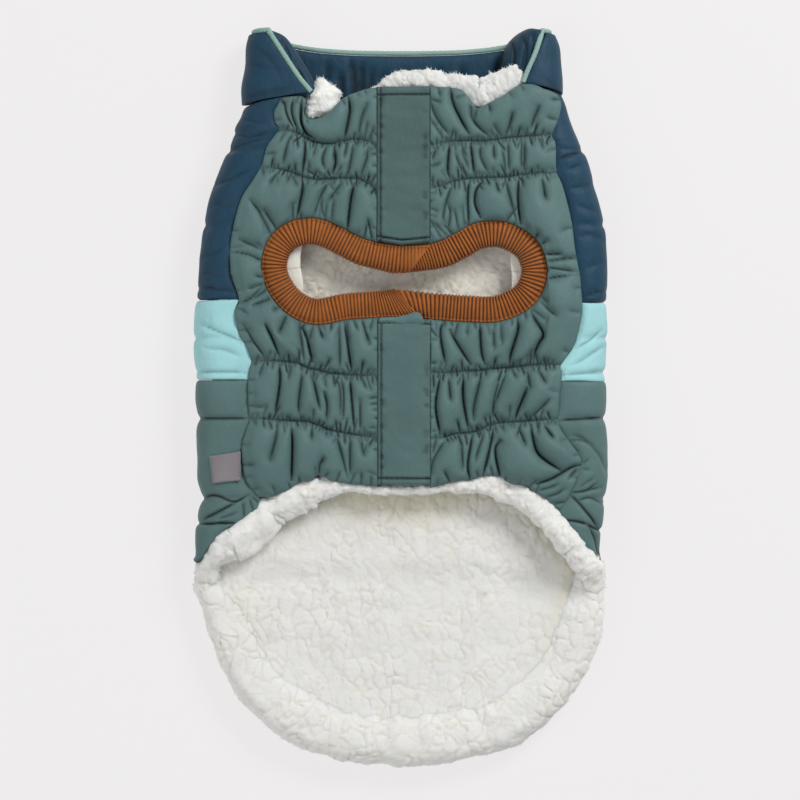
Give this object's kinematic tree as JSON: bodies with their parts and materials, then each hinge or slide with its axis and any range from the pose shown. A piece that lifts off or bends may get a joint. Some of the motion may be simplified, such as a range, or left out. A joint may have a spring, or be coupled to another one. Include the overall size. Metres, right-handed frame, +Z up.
{
  "type": "dog winter coat",
  "caption": "Padded dog winter coat laid flat, front up: gathered front panels, ribbed leg opening, standing collar and a fleece-lined tail flap.",
  "frame": {"origin": "centre of the coat's box on the surface that it lies on", "axes": "+X to the right seen from above, +Y from the tail to the neck, +Z up off the surface"},
  "size_m": [0.2282, 0.4054, 0.0372],
  "materials": {
    "navy_nylon": "padded woven nylon, soft sheen",
    "aqua_nylon": "padded woven nylon, soft sheen",
    "green_nylon": "padded woven nylon, soft sheen",
    "mint_piping": "corded nylon",
    "rust_rib_knit": "matt rib knit",
    "sherpa_fleece": "curly pile, matt",
    "white_tape": "hook tape, matt",
    "grey_label": "woven tape, blank"
  },
  "bodies": {
    "root": {"back_navy": "navy_nylon", "back_aqua": "aqua_nylon", "back_green": "green_nylon", "lining_back": "sherpa_fleece", "tail_rim": "sherpa_fleece", "chest_left": "green_nylon", "chest_right": "green_nylon", "belly_left": "green_nylon", "belly_right": "green_nylon", "lining_chest_left": "sherpa_fleece", "lining_chest_right": "sherpa_fleece", "lining_belly_left": "sherpa_fleece", "lining_belly_right": "sherpa_fleece", "chest_placket": "green_nylon", "belly_placket": "green_nylon", "chest_tape": "white_tape", "belly_tape": "white_tape", "rib_left": "rust_rib_knit", "rib_right": "rust_rib_knit", "collar": "navy_nylon", "collar_piping": "mint_piping", "neck_rim": "sherpa_fleece", "hem_rim": "sherpa_fleece", "label": "grey_label"}
  },
  "joints": []
}
